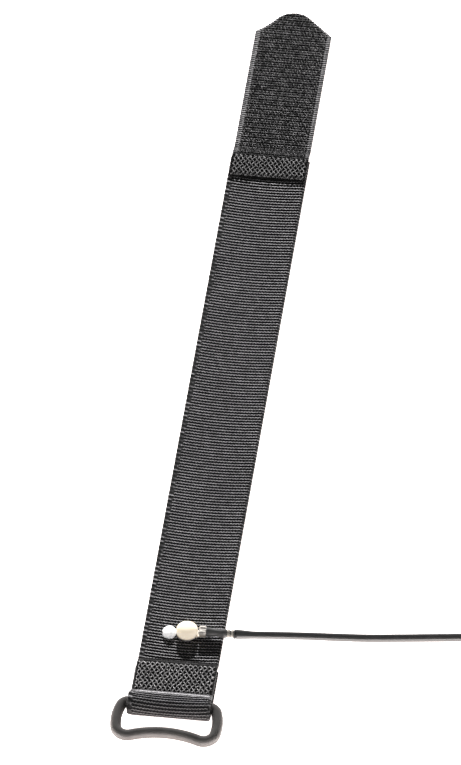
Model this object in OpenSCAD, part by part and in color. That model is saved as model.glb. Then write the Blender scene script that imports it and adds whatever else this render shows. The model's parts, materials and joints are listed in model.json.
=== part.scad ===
// Wrist strap for earthing a person at an electronics bench, lying flat on a table.
// +Y runs along the band from the ring to the tip, +X is the side the lead leaves by, +Z is up.
// The underside lies on z = 0. "v" is the distance from the ring's top bar along +Y.

/* [Band] */
// Width of the webbing
band_w = 25; // [24:0.5:26]
// Thickness of the webbing
band_t = 1.5; // [1.4:0.05:1.6]
// Distance from the ring's top bar to the tip
band_len = 320; // [310:1:330]
// Length of one bending span
span_len = 19; // [18.5:0.1:19.2]
// Gap between two spans
span_gap = 0.3; // [0.2:0.05:0.4]

/* [Fold round the ring] */
// Radial running clearance round the ring's bar
bar_clearance = 0.1; // [0.05:0.01:0.1]
// How far the slack loop stands in front of the bar
loop_slack = 1.2; // [0:0.1:1.4]
// v where the two layers come together
fold_meet = 6; // [5.5:0.1:6.5]
// v where the folded-back end stops
fold_end = 18.2; // [17.5:0.1:19]
// v where the band is a single flat layer again
fold_flat = 21.5; // [21:0.1:22]

/* [Ring] */
// Wire diameter of the ring
wire_d = 3.4; // [3.2:0.1:3.5]
// Outside width of the ring
ring_w = 34.3; // [33:0.1:35]
// Middle-line radius of the two upper corners
top_corner_r = 2.6; // [2.4:0.1:2.8]
// Middle-line radius of the bulging sides
side_r = 17; // [16:0.5:18]
// Middle-line radius of the two lower corners
low_corner_r = 3.6; // [3.2:0.1:4]
// Slope at which the lower bar leaves each lower corner
bow_angle = 20.6; // [16:0.1:24]

/* [Hook tip] */
// v where the hook tape starts, on top of the band
tab_start = 241; // [240.5:0.5:242]
// v where the webbing ends under the hook tape
band_stop = 251; // [250:0.5:252]
// Width of the hook tape
tab_w = 24.3; // [23:0.1:25]
// Thickness of the hook tape
tab_t = 1.5; // [1.3:0.1:1.6]
// Length of the tapered end
tab_taper = 9.5; // [8:0.5:11]
// Radius at the middle of the tapered end
tab_tip_r = 6; // [4:0.5:7]

/* [Snap] */
// Distance of the snap from the band's middle line
snap_x = 1.2; // [0:0.1:2]
// v of the snap
snap_v = 33; // [31:0.5:35]
// Diameter of the snap socket's cap
cap_d = 6.6; // [6.2:0.1:6.8]
// Height of the cap's crown above the table
cap_top = 5.1; // [4.7:0.1:5.4]
// Diameter of the stud's head
stud_d = 4; // [3.8:0.1:4]
// Diameter of the anchor rivet's head
rivet_d = 4.4; // [4:0.1:4.4]
// Distance of the anchor rivet from the band's middle line
rivet_x = -4.2; // [-4.6:0.1:-4.2]

/* [Lead] */
// Diameter of the lead
cord_d = 2.5; // [2.3:0.1:2.6]
// Height of the lead's axis where it leaves the snap
lead_z = 3.4; // [3.3:0.1:3.6]
// Length of the sleeve over the resistor
sleeve_len = 6.4; // [6:0.1:7]
// Mean diameter of the stored coil
coil_d = 36; // [36:0.5:38]
// Turns side by side and on top of each other in the coil
coil_turns = 4; // [4:1:4]

/* [Plug] */
// Diameter of the plug's contact pin
pin_d = 4; // [3.9:0.05:4]
// Length of the plug's contact pin
pin_len = 19; // [18:0.5:20]
// Diameter of the plug's grip
grip_d = 9; // [8.5:0.5:10]
// Length of the plug's grip
grip_len = 24; // [22:1:28]

/* [Hidden] */

$fn = 64;
eps = 0.01;

// Band
bar_y = -152.6;                     // y of the ring's top bar
spans_from = 50;                    // v of the first bend
bar_bore_r = wire_d / 2 + bar_clearance;
loop_r = bar_bore_r + band_t;       // outside of the loop
bar_z = loop_r;                     // the loop's underside lies on the table
flare_r = bar_bore_r + 0.8;         // the bore opens at its ends for the ring's corners
flare_len = 0.9;

// Ring, in its own plane: x across, y from the top bar (0) to the lower bar (negative)
wire_r = wire_d / 2;
wire_seam = 0.004;                  // hairline between two lengths of the wire, each an exact solid
top_turn = 72;                      // how far each arc turns, counted from the top bar
side_turn = 101;
low_turn = 180 + bow_angle;
side_x = ring_w / 2 - wire_r;       // widest middle line
bar_half = side_x - top_corner_r * sin(top_turn) - side_r * (1 - sin(top_turn));
top_centre = [bar_half, -top_corner_r];
side_centre = top_centre + (top_corner_r - side_r) * turn_at(top_turn);
low_centre = side_centre + (side_r - low_corner_r) * turn_at(side_turn);
low_point = low_centre + low_corner_r * turn_at(low_turn);
bow_r = low_point.x / sin(bow_angle);
bow_centre = [0, low_point.y - bow_r * cos(bow_angle)];
ring_drop = asin((bar_z - wire_r) / (low_corner_r - low_centre.y)); // the lower bar lies on the table

// Snap and the pieces in line with it; distances along the lead are from the snap's axis
plate_t = 0.4;
plate_r = 4.5;
shank_r = 1.5;
flange_t = 0.4;
flange_r = 2.6;
neck_r = 1.6;
head_z = [2.6, 3.5];                // height of the stud's head, from and to
socket_z = 2.05;                    // underside of the socket and the terminal's eye
eye_t = 0.4;
eye_r = 3.2;
socket_neck_r = 2.65;
socket_bore_r = stud_d / 2 + 0.1;
socket_roof = 4;
groove = [2.6, 2.5, 3.1];           // radius, from and to height
spring = [2.05, 2.5, 2.55, 3.05];   // inner and outer radius, from and to height
spring_slit = 1;
crimp_from = 3.7;
crimp_r = 1.3;
ear_r = 1;
ear_x = 0.75;                       // from the lead's axis to each ear's middle
ear_rise = 0.3;
wire_core_r = 0.45;
sleeve_from = 5.8;
sleeve_r = 1.55;
sleeve_waist_r = 1.3;
sleeve_bore_r = 0.95;
resistor_from = 7.2;
resistor_len = 3.6;
resistor_r = 0.85;
ferrule_from = sleeve_from + sleeve_len;
ferrule_len = 2.2;
ferrule_r = 1.4;
collar_from = ferrule_from + ferrule_len;
collar_to = 15;
collar_r = 1.6;
rivet_head_t = 1.9;
rivet_rim_t = 0.25;
rivet_shank_r = 1.1;

// Stitching
thread_t = 0.25;
thread_w = 0.4;
stitch_margin = 1.2;
fold_sewn = [6.9, 17.9];            // v from and to of the sewing on the fold
tab_sewn = [242, 250.4];            // v from and to of the sewing on the hook tape

// Lead
cord_r = cord_d / 2;
cord_sides = 8;
tie_t = 0.4;
tie_w = 5;
coil_pack = coil_turns * cord_d;    // width and height of the coil's section
coil_at = [108.5, 68.3];            // coil's centre, as x and v
tie_angle = 300;
// Middle line of the lead from the collar to the coil, as x, v, height
run_points = [[16.2, 33, 3.4], [20, 33.35, 3.3], [25, 34.15, 3], [31, 35.25, 2.5], [38, 36.45, 1.95],
    [46, 37.5, 1.5], [56, 38.6, 1.25], [66, 39.9, 1.25], [76, 41.3, 1.25], [86, 42.7, 1.25],
    [96, 44.2, 1.25], [104, 45.5, 1.4]];
// Middle line of the lead from the side of the coil down to the plug, as x, v, height
tail_points = [[130.5, 75.5, 8.7], [130.4, 80, 7.2], [130, 85, 5], [129.3, 90, 2.9], [128.2, 95, 1.6],
    [127, 100, 1.25], [125.9, 104.5, 1.35], [125, 109, 2.1], [124.3, 113, 3.3], [124, 116, 4.2],
    [124, 118, 4.5]];

// Plug: its axis is parallel to +Y
plug_at = [124, 118];               // x and v of the boot's rear face
plug_z = grip_d / 2;
boot_len = 10;
boot_r = [1.9, 3.2];
grip_wall = 1.6;
stem_r = 1.5;
barrel_r = 2.8;
cage_from = 4;
cage_to = 15;
screw_r = 1;

function v_y(v) = bar_y + v;
function turn_at(a) = [sin(a), cos(a)];
function snap_place() = [snap_x, v_y(snap_v), 0];
function unit(p) = p / norm(p);
function span_start(i) = spans_from + span_len * i;

// A box of webbing or tape across the band, from one v to another
module strip(from, to, w, z0, z1) {
    translate([-w / 2, v_y(from), z0]) cube([w, to - from, z1 - z0]);
}

// A solid w wide across x, from an outline of [v, height] points
module across(w, outline) {
    translate([w / 2, bar_y, 0]) rotate([90, 0, -90]) linear_extrude(w)
        polygon([for (p = outline) [-p.x, p.y]]);
}

// A solid of revolution about the lead's axis; its outline is [distance from the snap, radius]
module in_line(outline) {
    translate(snap_place() + [0, 0, lead_z]) rotate([0, 90, 0]) rotate([0, 0, 90])
        rotate_extrude() polygon([for (p = outline) [p.y, p.x]]);
}

module band_fold() {
    crest_v = 2.2;                  // where the upper layer leaves the loop
    crest_z = bar_z + sqrt(pow(loop_r, 2) - pow(crest_v, 2));
    meet_v = fold_meet + 0.6;       // where the upper layer lies flat on the lower one
    hem_z = band_t - 0.1;           // the folded-back end is pressed a little into the upper layer
    loop_outline = concat(
        [[0, 0], [-loop_slack, 0]],
        [for (a = [-80:10:80]) [-loop_slack - loop_r * cos(a), bar_z + loop_r * sin(a)]],
        [[-loop_slack, 2 * bar_z], [0, 2 * bar_z], [crest_v, crest_z], [meet_v, 2 * band_t],
            [fold_end, 2 * band_t], [fold_flat, band_t], [fold_flat, 0],
            [fold_flat - 0.4, 0], [fold_end + 0.1, hem_z], [fold_end, hem_z], [fold_end, 0]]);
    teardrop_v = 0.6;
    teardrop = [[teardrop_v, bar_z + bar_bore_r - 0.1], [fold_meet, band_t], [teardrop_v, band_t]];
    color([0.3, 0.3, 0.3]) difference() {
        across(band_w, loop_outline);
        across(band_w + 1, teardrop);
        translate([0, bar_y, bar_z]) rotate([0, 90, 0]) {
            cylinder(r = bar_bore_r, h = band_w + 1, center = true);
            for (side = [0, 180]) rotate([0, side, 0]) translate([0, 0, band_w / 2 - flare_len])
                cylinder(r1 = bar_bore_r, r2 = flare_r + eps, h = flare_len + eps);
        }
    }
}

module band_mount() {
    color([0.3, 0.3, 0.3]) difference() {
        strip(fold_flat, spans_from - span_gap / 2, band_w, 0, band_t);
        plate_solid();
        translate(snap_place()) cylinder(r = shank_r, h = band_t + 1);
        translate([rivet_x, v_y(snap_v), 0]) cylinder(r = rivet_shank_r, h = band_t + 1);
    }
}

module band_span(i) {
    color([0.3, 0.3, 0.3])
        strip(span_start(i) + span_gap / 2, span_start(i + 1) - span_gap / 2, band_w, 0, band_t);
}

module band_end() {
    color([0.3, 0.3, 0.3]) strip(span_start(10) + span_gap / 2, band_stop, band_w, 0, band_t);
}

// The first length of hook tape lies on the band, then steps down to the table
module hook_tab_step() {
    top = band_t + tab_t;
    step_to = span_start(11) - span_gap / 2;
    color([0.22, 0.22, 0.22]) across(tab_w, [[tab_start, band_t], [band_stop + 0.3, band_t],
        [band_stop + 3.5, 0], [step_to, 0], [step_to, tab_t], [band_stop + 4, tab_t],
        [band_stop + 0.8, top], [tab_start, top]]);
}

module hook_tab_span(i) {
    color([0.22, 0.22, 0.22])
        strip(span_start(i) + span_gap / 2, span_start(i + 1) - span_gap / 2, tab_w, 0, tab_t);
}

module hook_tab_tip() {
    from = span_start(13) + span_gap / 2;
    shoulder = band_len - tab_taper;
    arc_y = band_len - tab_tip_r;
    reach = 48;
    arc = [for (a = [reach:-12:-reach]) [tab_tip_r * sin(a), arc_y + tab_tip_r * cos(a)]];
    color([0.22, 0.22, 0.22]) translate([0, bar_y, 0]) linear_extrude(tab_t)
        polygon(concat([[-tab_w / 2, from], [tab_w / 2, from], [tab_w / 2, shoulder]], arc,
            [[-tab_w / 2, shoulder]]));
}

// One row of zigzag stitching across the band
module zigzag_row(v, w, depth, n) {
    pitch = w / n;
    up = [for (i = [0:n]) [-w / 2 + i * pitch, (i % 2) * depth]];
    translate([0, v_y(v), 0]) linear_extrude(thread_t)
        polygon(concat([for (p = up) p], [for (i = [n:-1:0]) up[i] + [0, thread_w]]));
}

module stitches(sewn, w, rows, z) {
    pitch = (sewn[1] - sewn[0]) / rows;
    color([0.35, 0.35, 0.35]) translate([0, 0, z])
        for (i = [0:rows - 1]) zigzag_row(sewn[0] + i * pitch, w - 2 * stitch_margin, pitch * 0.55, 12);
}

// A length of ring wire bent round a centre, between two turns counted from the top bar
module wire_arc(centre, radius, from, to) {
    trim = wire_seam / radius * 180 / PI;
    translate(centre) rotate([0, 0, 90 - to + trim / 2]) rotate_extrude(angle = to - from - trim, $fn = 96)
        translate([radius, 0]) circle(r = wire_r);
}

module ring() {
    color([0.2, 0.2, 0.2]) translate([0, bar_y, bar_z]) rotate([ring_drop, 0, 0]) {
        rotate([0, 90, 0]) cylinder(r = wire_r, h = 2 * bar_half - wire_seam, center = true);
        for (side = [0, 1]) mirror([side, 0, 0]) {
            wire_arc(top_centre, top_corner_r, 0, top_turn);
            wire_arc(side_centre, side_r, top_turn, side_turn);
            wire_arc(low_centre, low_corner_r, side_turn, low_turn);
        }
        wire_arc(bow_centre, bow_r, -bow_angle, bow_angle);
    }
}

module plate_solid() {
    translate([snap_x, v_y(snap_v), 0]) cylinder(r = plate_r, h = plate_t);
    translate([rivet_x, v_y(snap_v), 0]) cylinder(r = plate_r, h = plate_t);
    translate([rivet_x, v_y(snap_v) - plate_r, 0]) cube([snap_x - rivet_x, 2 * plate_r, plate_t]);
}

module contact_plate() {
    color([0.75, 0.75, 0.76]) difference() {
        plate_solid();
        translate(snap_place() - [0, 0, 1]) cylinder(r = shank_r, h = 3);
        translate([rivet_x, v_y(snap_v), -1]) cylinder(r = rivet_shank_r, h = 3);
    }
}

module snap_stud() {
    flange_z = band_t + flange_t;
    color([0.8, 0.8, 0.8]) translate(snap_place()) rotate_extrude() polygon([[0, 0], [shank_r, 0],
        [shank_r, band_t], [flange_r, band_t], [flange_r, flange_z], [neck_r, flange_z],
        [neck_r, head_z[0] - 0.3], [stud_d / 2, head_z[0]], [stud_d / 2, head_z[1] - 0.5],
        [stud_d / 2 - 0.5, head_z[1]], [0, head_z[1]]]);
}

module anchor_rivet() {
    rim_z = band_t + rivet_rim_t;
    rise = rivet_head_t - rivet_rim_t;
    dome = [for (a = [0:15:90]) [rivet_d / 2 * cos(a), rim_z + rise * sin(a)]];
    color([0.95, 0.94, 0.92]) translate([rivet_x, v_y(snap_v), 0]) rotate_extrude()
        polygon(concat([[0, 0], [rivet_shank_r, 0], [rivet_shank_r, band_t], [rivet_d / 2, band_t]], dome));
}

module snap_spring() {
    color([0.7, 0.65, 0.5]) translate(snap_place()) difference() {
        translate([0, 0, spring[2]]) cylinder(r = spring[1], h = spring[3] - spring[2]);
        cylinder(r = spring[0], h = 10);
        translate([-5, -spring_slit / 2, 0]) cube([5, spring_slit, 10]);
    }
}

module snap_socket() {
    cap_r = cap_d / 2;
    eye_top = socket_z + eye_t;
    color([0.98, 0.95, 0.89]) translate(snap_place()) rotate_extrude() polygon([
        [socket_bore_r, socket_z], [socket_neck_r, socket_z], [socket_neck_r, eye_top],
        [cap_r, eye_top], [cap_r, cap_top - 1.2], [cap_r - 0.25, cap_top - 0.7],
        [cap_r - 0.8, cap_top - 0.3], [cap_r - 1.7, cap_top - 0.05], [0, cap_top], [0, socket_roof],
        [socket_bore_r, socket_roof], [socket_bore_r, groove[2]], [groove[0], groove[2]],
        [groove[0], groove[1]], [socket_bore_r, groove[1]]]);
}

module terminal() {
    color([0.9, 0.87, 0.8]) difference() {
        union() {
            translate(snap_place() + [0, 0, socket_z]) {
                cylinder(r = eye_r, h = eye_t);
                translate([2, -1.2, 0]) cube([sleeve_from - 2, 2.4, eye_t]);
            }
            for (ear = [-1, 1]) translate(snap_place() + [crimp_from, ear_x * ear, lead_z + ear_rise])
                rotate([0, 90, 0]) cylinder(r = ear_r, h = sleeve_from - crimp_from);
            in_line([[crimp_from, 0], [crimp_from, crimp_r], [sleeve_from, crimp_r], [sleeve_from, 0]]);
        }
        translate(snap_place()) cylinder(r = socket_neck_r, h = 2.5);
        translate(snap_place() + [0, 0, socket_z + eye_t]) cylinder(r = cap_d / 2 + 0.1, h = 4);
        in_line([[0, 0], [0, wire_core_r], [10, wire_core_r], [10, 0]]);
    }
}

module conductor() {
    color([0.75, 0.45, 0.25]) {
        core(crimp_from, resistor_from);
        core(resistor_from + resistor_len, collar_to);
    }
}

// Bare strands between two distances along the lead
module core(from, to) {
    in_line([[from, 0], [from, wire_core_r], [to, wire_core_r], [to, 0]]);
}

module series_resistor() {
    to = resistor_from + resistor_len;
    color([0.8, 0.7, 0.5]) in_line([[resistor_from, 0], [resistor_from, resistor_r - 0.2],
        [resistor_from + 0.2, resistor_r], [to - 0.2, resistor_r], [to, resistor_r - 0.2], [to, 0]]);
}

module sleeve() {
    waist = sleeve_from + sleeve_len * 0.55;
    color([0.12, 0.12, 0.12]) in_line([[sleeve_from, wire_core_r], [sleeve_from, sleeve_r - 0.1],
        [sleeve_from + 0.4, sleeve_r], [sleeve_from + 1.6, sleeve_r], [waist, sleeve_waist_r],
        [ferrule_from - 0.8, sleeve_r - 0.15], [ferrule_from, sleeve_r - 0.2], [ferrule_from, wire_core_r],
        [ferrule_from - 0.7, wire_core_r], [ferrule_from - 0.7, sleeve_bore_r],
        [sleeve_from + 0.7, sleeve_bore_r], [sleeve_from + 0.7, wire_core_r]]);
}

module ferrule() {
    groove_at = ferrule_from + ferrule_len / 2;
    color([0.8, 0.76, 0.68]) in_line([[ferrule_from, wire_core_r], [ferrule_from, ferrule_r],
        [groove_at - 0.3, ferrule_r], [groove_at - 0.15, ferrule_r - 0.2],
        [groove_at + 0.15, ferrule_r - 0.2], [groove_at + 0.3, ferrule_r], [collar_from, ferrule_r],
        [collar_from, wire_core_r]]);
}

module jacket_collar() {
    color([0.12, 0.12, 0.12]) in_line([[collar_from, wire_core_r], [collar_from, collar_r],
        [collar_to - 0.15, collar_r], [collar_to, collar_r - 0.15], [collar_to, wire_core_r]]);
}

// A round tube along a middle line whose points are x, v and height
module tube(points, r) {
    route = [for (p = points) [p.x, v_y(p.y), p.z]];
    last = len(route) - 1;
    rings = [for (i = [0:last])
        let (along = unit(route[min(i + 1, last)] - route[max(i - 1, 0)]),
            side = unit(cross(along, [0, 0, 1])), up = cross(side, along))
        for (k = [0:cord_sides - 1])
            let (a = 360 / cord_sides * (k + 0.5), r_out = r / cos(180 / cord_sides))
            route[i] + r_out * (cos(a) * side + sin(a) * up)];
    skin = [for (i = [0:last - 1], k = [0:cord_sides - 1])
        let (a = i * cord_sides + k, b = i * cord_sides + (k + 1) % cord_sides)
        each [[a, a + cord_sides, b], [b, a + cord_sides, b + cord_sides]]];
    ends = [[for (k = [0:cord_sides - 1]) k],
        [for (k = [cord_sides - 1:-1:0]) last * cord_sides + k]];
    polyhedron(rings, concat(skin, ends), convexity = 4);
}

// Points of a smooth curve through the given points, a few steps for each gap
function smooth(p, steps) = concat(
    [for (i = [0:len(p) - 2], k = [0:steps - 1])
        let (t = k / steps, a = p[max(i - 1, 0)], b = p[i], c = p[i + 1], d = p[min(i + 2, len(p) - 1)])
        b + t * (c - a) / 2 + t * t * (2 * a - 5 * b + 4 * c - d) / 2
            + t * t * t * (3 * b - a - 3 * c + d) / 2],
    [p[len(p) - 1]]);

module cord_run() {
    color([0.12, 0.12, 0.12]) tube(smooth(run_points, 2), cord_r - 0.02);
}

module cord_coil() {
    inner = (coil_d - coil_pack) / 2;
    bevel = 0.7;
    color([0.12, 0.12, 0.12]) translate([coil_at.x, v_y(coil_at.y), tie_t]) rotate_extrude()
        polygon([[inner + bevel, 0], [inner + coil_pack - bevel, 0], [inner + coil_pack, bevel],
            [inner + coil_pack, coil_pack - bevel], [inner + coil_pack - bevel, coil_pack],
            [inner + bevel, coil_pack], [inner, coil_pack - bevel], [inner, bevel]]);
}

module cord_tail() {
    color([0.12, 0.12, 0.12]) tube(smooth(tail_points, 2), cord_r - 0.02);
}

module cord_tie() {
    reach = coil_pack + 0.3;
    color([0.15, 0.15, 0.15]) translate([coil_at.x, v_y(coil_at.y), 0]) rotate([0, 0, tie_angle])
        translate([coil_d / 2, 0, 0]) difference() {
            translate([-reach / 2 - tie_t, -tie_w / 2, 0])
                cube([reach + 2 * tie_t, tie_w, coil_pack + 2 * tie_t]);
            translate([-reach / 2, -tie_w, tie_t]) cube([reach, 2 * tie_w, coil_pack]);
        }
}

// A solid of revolution about the plug's axis; its outline is [distance from the boot's rear, radius]
module plug_turned(outline) {
    translate([plug_at.x, v_y(plug_at.y), plug_z]) rotate([-90, 0, 0])
        rotate_extrude() polygon([for (p = outline) [p.y, p.x]]);
}

grip_to = boot_len + grip_len;

module plug_boot() {
    color([0.12, 0.12, 0.12]) plug_turned([[0, 0], [0, boot_r[0]], [boot_len, boot_r[1]], [boot_len, 0]]);
}

module plug_grip() {
    r = grip_d / 2;
    color([0.1, 0.1, 0.1]) plug_turned([[boot_len, barrel_r], [boot_len, r - 0.8], [boot_len + 0.8, r],
        [grip_to - 0.8, r], [grip_to, r - 0.8], [grip_to, stem_r], [grip_to - grip_wall, stem_r],
        [grip_to - grip_wall, barrel_r]]);
}

module plug_pin() {
    barrel_from = boot_len;
    tip = grip_to + pin_len;
    color([0.85, 0.8, 0.65]) difference() {
        plug_turned([[barrel_from, 0], [barrel_from, barrel_r], [grip_to - grip_wall, barrel_r],
            [grip_to - grip_wall, stem_r], [tip - 1.2, stem_r], [tip, stem_r - 1], [tip, 0]]);
        translate([plug_at.x, v_y(plug_at.y) + barrel_from + 5, plug_z]) cylinder(r = screw_r, h = 5);
    }
}

module plug_spring() {
    r = pin_d / 2;
    from = grip_to + cage_from;
    to = grip_to + cage_to;
    color([0.85, 0.8, 0.65]) plug_turned([[from - 1.5, stem_r], [from - 1.5, stem_r + 0.15], [from, r],
        [to, r], [to + 1.5, stem_r + 0.15], [to + 1.5, stem_r]]);
}

module plug_screw() {
    color([0.6, 0.6, 0.6]) translate([plug_at.x, v_y(plug_at.y) + boot_len + 5, plug_z]) difference() {
        cylinder(r = screw_r, h = barrel_r - 0.2);
        translate([-0.2, -2, barrel_r - 0.7]) cube([0.4, 4, 1]);
    }
}

band_fold();
band_mount();
band_span(0);  // band_01
band_span(1);  // band_02
band_span(2);  // band_03
band_span(3);  // band_04
band_span(4);  // band_05
band_span(5);  // band_06
band_span(6);  // band_07
band_span(7);  // band_08
band_span(8);  // band_09
band_span(9);  // band_10
band_end();
hook_tab_step();  // hook_tab_1
hook_tab_span(11);  // hook_tab_2
hook_tab_span(12);  // hook_tab_3
hook_tab_tip();  // hook_tab_4
stitches(fold_sewn, band_w, 4, 2 * band_t);  // fold_stitches
stitches(tab_sewn, tab_w, 3, band_t + tab_t);  // tip_stitches
ring();
contact_plate();
snap_stud();
anchor_rivet();
snap_spring();
snap_socket();
terminal();
conductor();
series_resistor();
sleeve();
ferrule();
jacket_collar();
cord_run();
cord_coil();
cord_tail();
cord_tie();
plug_boot();
plug_grip();
plug_pin();
plug_spring();
plug_screw();
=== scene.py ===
"""The looks of an anti-static wrist strap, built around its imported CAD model.

Shapes are worked out in millimetres as (x, v, z), where v is the distance from the ring's top bar along +Y,
and are put into the row frame, in metres, by in_frame().
"""
import json
import math

import bmesh
import bpy
import numpy as np
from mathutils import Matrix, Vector


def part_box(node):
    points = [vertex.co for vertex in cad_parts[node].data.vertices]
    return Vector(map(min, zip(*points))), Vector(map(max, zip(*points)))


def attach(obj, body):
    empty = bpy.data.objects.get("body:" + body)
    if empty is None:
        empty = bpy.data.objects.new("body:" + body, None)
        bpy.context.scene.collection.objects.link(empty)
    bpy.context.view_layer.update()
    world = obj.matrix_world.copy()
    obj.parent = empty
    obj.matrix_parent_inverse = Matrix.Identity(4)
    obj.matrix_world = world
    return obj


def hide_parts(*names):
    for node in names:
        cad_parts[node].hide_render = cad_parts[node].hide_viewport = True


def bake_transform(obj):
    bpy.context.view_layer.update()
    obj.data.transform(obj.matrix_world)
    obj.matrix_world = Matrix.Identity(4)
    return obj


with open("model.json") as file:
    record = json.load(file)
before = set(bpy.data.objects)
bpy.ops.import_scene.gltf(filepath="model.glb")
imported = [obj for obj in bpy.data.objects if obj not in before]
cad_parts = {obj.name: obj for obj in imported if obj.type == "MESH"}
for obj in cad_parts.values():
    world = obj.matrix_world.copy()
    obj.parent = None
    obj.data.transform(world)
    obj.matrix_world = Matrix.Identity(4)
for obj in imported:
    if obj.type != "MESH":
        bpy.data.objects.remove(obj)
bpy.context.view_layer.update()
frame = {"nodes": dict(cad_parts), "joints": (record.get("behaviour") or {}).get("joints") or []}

MM = 0.001
JOINTS = {joint["name"]: joint for joint in frame["joints"]}
BAR = Vector(JOINTS["ring_swing"]["pos_m"])          # middle of the ring's top bar
SNAP = Vector(JOINTS["lead_swivel"]["pos_m"])        # on the snap's axis


def v_of(y):
    """The distance v, in millimetres, of a y in the row frame."""
    return (y - BAR.y) / MM


HINGES = [v_of(JOINTS[f"wrap_{k:02d}"]["pos_m"][1]) for k in range(1, 15)]
SPAN = HINGES[1] - HINGES[0]
BAR_Z = BAR.z / MM
SNAP_X = SNAP.x / MM
SNAP_V = v_of(SNAP.y)

# Webbing
BAND_HALF = (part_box("band_mount")[1].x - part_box("band_mount")[0].x) / 2 / MM
BAND_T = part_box("band_mount")[1].z / MM
FLAT_FROM = v_of(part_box("band_mount")[0].y)
BAND_STOP = v_of(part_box("band_end")[1].y)
FOLD_END = 18.2        # where the upper layer of the fold ends
FOLD_MEET = 6.2        # where the two layers meet behind the ring's bar
RIB_PITCH = SPAN / 15
BEAD_PITCH = 1.0       # distance across between two beads of yarn
RIB_BOW = 0.9          # how much nearer the ring a rib's middle lies than its ends
RIB_DEPTH = 0.34
RIB_FROM = HINGES[0] - SPAN / 2

# Hook tape
TAPE_HALF = (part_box("hook_tab_2")[1].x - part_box("hook_tab_2")[0].x) / 2 / MM
TAPE_START = v_of(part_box("hook_tab_1")[0].y)
TAPE_END = v_of(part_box("hook_tab_4")[1].y)
TAPE_PITCH = SPAN / 17
TIP_END = TAPE_END + 0.3       # the tip's rounding reaches a little past the CAD tape

RNG = np.random.default_rng(42)
JITTER = RNG.uniform(-1, 1, (97, 89))


# ---------------------------------------------------------------- mesh helpers

def in_frame(points):
    """Millimetre points (x, v, z) in the row frame, in metres."""
    return np.asarray(points, float) * MM + np.array([0, BAR.y, 0])


def unit(vectors):
    """Vectors of length one."""
    return vectors / np.maximum(np.linalg.norm(vectors, axis=-1, keepdims=True), 1e-12)


def smoothstep(t):
    """Goes from 0 to 1 with level ends."""
    t = np.clip(t, 0, 1)
    return t * t * (3 - 2 * t)


def skin(grid, closed=False):
    """Points and faces of a tube whose rings are the grid's rows."""
    rows, around = grid.shape[:2]
    index = np.arange(rows * around).reshape(rows, around)
    beside = np.roll(index, -1, axis=1)
    ahead = np.roll(index, -1, axis=0)
    quads = np.stack([index, beside, np.roll(beside, -1, axis=0), ahead], axis=-1)
    used = rows if closed else rows - 1
    faces = quads[:used].reshape(-1, 4).tolist()
    if not closed:
        faces += [index[0][::-1].tolist(), index[-1].tolist()]
    return grid.reshape(-1, 3), faces


def together(parts):
    """Several (points, faces) as one."""
    points, faces, offset = [], [], 0
    for part_points, part_faces in parts:
        points.append(part_points)
        faces += [[i + offset for i in face] for face in part_faces]
        offset += len(part_points)
    return np.concatenate(points), faces


def sweep(path, outline, up=(0, 0, 1), closed=False):
    """A tube along a path. The outline is [around, 2] or [steps, around, 2], as side and rise."""
    path = np.asarray(path, float)
    ahead, behind = np.roll(path, -1, axis=0), np.roll(path, 1, axis=0)
    if not closed:
        ahead[-1], behind[0] = path[-1], path[0]
    along = unit(ahead - behind)
    side = unit(np.cross(along, np.asarray(up, float)))
    rise = np.cross(side, along)
    outline = np.broadcast_to(outline, (len(path),) + np.shape(outline)[-2:])
    grid = path[:, None] + outline[..., :1] * side[:, None] + outline[..., 1:] * rise[:, None]
    return skin(grid, closed)


def circle(sides):
    """A unit circle as [sides, 2]."""
    turn = np.linspace(0, 2 * np.pi, sides, endpoint=False)
    return np.stack([np.cos(turn), np.sin(turn)], axis=-1)


def wire(path, radius, sides, up=(0, 0, 1), closed=False):
    """A round tube, whose radius is one number or one for each point."""
    radius = np.broadcast_to(radius, (len(path),))
    return sweep(path, circle(sides)[None] * radius[:, None, None], up, closed)


def soften(profile, times):
    """Cuts a profile's corners to round them, and keeps its ends."""
    points = np.asarray(profile, float)
    for _ in range(times):
        near = 0.75 * points[:-1] + 0.25 * points[1:]
        far = 0.25 * points[:-1] + 0.75 * points[1:]
        cut = np.stack([near, far], axis=1).reshape(-1, 2)
        points = np.concatenate([points[:1], cut, points[-1:]])
    return points


def turned(profile, centre, axis, sides, ripple=None):
    """A solid of revolution. The profile is [along the axis, radius], and ripple scales a radius."""
    profile = np.asarray(profile, float)
    turn = np.linspace(0, 2 * np.pi, sides, endpoint=False)[None]
    along = np.broadcast_to(profile[:, :1], (len(profile), sides))
    radius = np.broadcast_to(profile[:, 1:], (len(profile), sides))
    if ripple is not None:
        radius = radius * ripple(along, turn)
    one, two = radius * np.cos(turn), radius * np.sin(turn)
    order = {"z": (one, two, along), "x": (along, one, two), "y": (two, along, one)}[axis]
    return skin(np.stack(order, axis=-1) + np.asarray(centre, float))


def copies(part, offsets):
    """One part repeated at each offset."""
    points, faces = part
    count = len(points)
    spread = (points[None] + np.asarray(offsets, float)[:, None]).reshape(-1, 3)
    return spread, [[i + k * count for i in face] for k in range(len(offsets)) for face in faces]


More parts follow.
